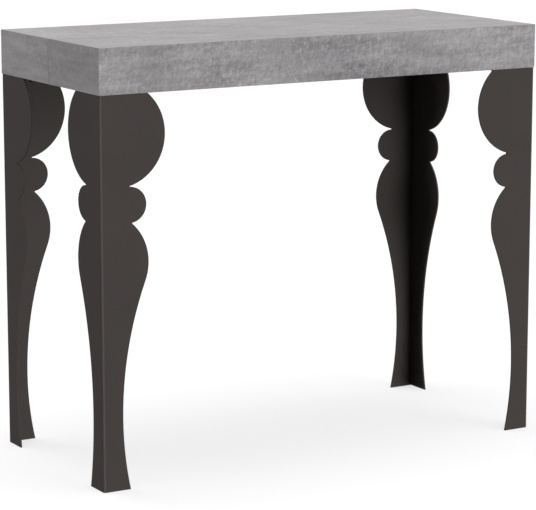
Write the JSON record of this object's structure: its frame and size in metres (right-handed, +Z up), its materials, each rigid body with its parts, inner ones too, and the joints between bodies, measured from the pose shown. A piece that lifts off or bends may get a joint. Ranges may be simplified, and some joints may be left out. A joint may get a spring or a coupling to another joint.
{
  "type": "extending console table",
  "caption": "Slim console table with a thick cement-effect top on baluster-cut folded sheet legs; its halves draw apart on telescopic rails to take leaves.",
  "frame": {"origin": "on the floor under the middle of the closed top, where its two halves meet", "axes": "+X along the top's length towards the right end, +Y through the depth from the front half to the back half, which moves that way to extend, +Z up"},
  "size_m": [0.9, 0.4, 0.77],
  "materials": {
    "cement_board": "matt cement-effect melamine on chipboard",
    "cement_edging": "matt cement-effect ABS edging",
    "beech": "bare planed beech",
    "anthracite_coat": "matt anthracite powder coat on steel sheet",
    "zinc_steel": "zinc-plated steel, bright, and black on the leg bolts",
    "rail_aluminium": "natural extruded aluminium",
    "slider_plastic": "black moulded acetal"
  },
  "bodies": {
    "front_half": {"front_top_panel": "cement_board", "front_long_apron": "cement_board", "front_left_apron": "cement_board", "front_right_apron": "cement_board", "front_seam_edging": "cement_edging", "front_corner_blocks": "beech", "front_left_leg": "anthracite_coat", "front_right_leg": "anthracite_coat", "front_leg_plates": "anthracite_coat", "front_leg_bolts": "zinc_steel", "front_left_rail": "rail_aluminium", "front_right_rail": "rail_aluminium", "front_rail_sliders": "slider_plastic", "front_rail_screws": "zinc_steel", "dowel_pins": "beech", "latch_bases": "zinc_steel", "latch_screws": "zinc_steel"},
    "back_half": {"back_top_panel": "cement_board", "back_long_apron": "cement_board", "back_left_apron": "cement_board", "back_right_apron": "cement_board", "back_seam_edging": "cement_edging", "back_corner_blocks": "beech", "back_left_leg": "anthracite_coat", "back_right_leg": "anthracite_coat", "back_leg_plates": "anthracite_coat", "back_leg_bolts": "zinc_steel", "back_left_rail": "rail_aluminium", "back_right_rail": "rail_aluminium", "back_rail_sliders": "slider_plastic", "back_rail_screws": "zinc_steel", "latch_keepers": "zinc_steel", "keeper_screws": "zinc_steel"},
    "rail_stage_1": {"left_rail_1": "rail_aluminium", "right_rail_1": "rail_aluminium", "cross_tie_1": "zinc_steel", "rail_sliders_1": "slider_plastic", "tie_screws_1": "zinc_steel"},
    "rail_stage_2": {"left_rail_2": "rail_aluminium", "right_rail_2": "rail_aluminium", "cross_tie_2": "zinc_steel", "rail_sliders_2": "slider_plastic", "tie_screws_2": "zinc_steel"},
    "rail_stage_3": {"left_rail_3": "rail_aluminium", "right_rail_3": "rail_aluminium", "cross_tie_3": "zinc_steel", "rail_sliders_3": "slider_plastic", "tie_screws_3": "zinc_steel"},
    "rail_stage_4": {"left_rail_4": "rail_aluminium", "right_rail_4": "rail_aluminium", "cross_tie_4": "zinc_steel", "rail_sliders_4": "slider_plastic", "tie_screws_4": "zinc_steel"},
    "rail_stage_5": {"left_rail_5": "rail_aluminium", "right_rail_5": "rail_aluminium", "cross_tie_5": "zinc_steel", "rail_sliders_5": "slider_plastic", "tie_screws_5": "zinc_steel"},
    "left_latch": {"left_latch_lever": "zinc_steel"},
    "right_latch": {"right_latch_lever": "zinc_steel"}
  },
  "joints": [
    {"name": "extension", "type": "slide", "parent": "front_half", "child": "back_half", "axis": [0, 1, 0], "range_m": [0, 1.56]},
    {"name": "stage_1_slide", "type": "slide", "parent": "front_half", "child": "rail_stage_1", "axis": [0, 1, 0], "range_m": [0, 0.26]},
    {"name": "stage_2_slide", "type": "slide", "parent": "front_half", "child": "rail_stage_2", "axis": [0, 1, 0], "range_m": [0, 0.52]},
    {"name": "stage_3_slide", "type": "slide", "parent": "front_half", "child": "rail_stage_3", "axis": [0, 1, 0], "range_m": [0, 0.78]},
    {"name": "stage_4_slide", "type": "slide", "parent": "front_half", "child": "rail_stage_4", "axis": [0, 1, 0], "range_m": [0, 1.04]},
    {"name": "stage_5_slide", "type": "slide", "parent": "front_half", "child": "rail_stage_5", "axis": [0, 1, 0], "range_m": [0, 1.3]},
    {"name": "left_latch_turn", "type": "hinge", "parent": "front_half", "child": "left_latch", "pos_m": [-0.35, -0.03, 0.7472], "axis": [0, 0, -1], "range_deg": [0, 90]},
    {"name": "right_latch_turn", "type": "hinge", "parent": "front_half", "child": "right_latch", "pos_m": [0.35, -0.03, 0.7472], "axis": [0, 0, 1], "range_deg": [0, 90]}
  ],
  "couplings": [
    {"joint": "stage_1_slide", "follows": "extension", "ratio": 0.16667},
    {"joint": "stage_2_slide", "follows": "extension", "ratio": 0.33333},
    {"joint": "stage_3_slide", "follows": "extension", "ratio": 0.5},
    {"joint": "stage_4_slide", "follows": "extension", "ratio": 0.66667},
    {"joint": "stage_5_slide", "follows": "extension", "ratio": 0.83333}
  ]
}
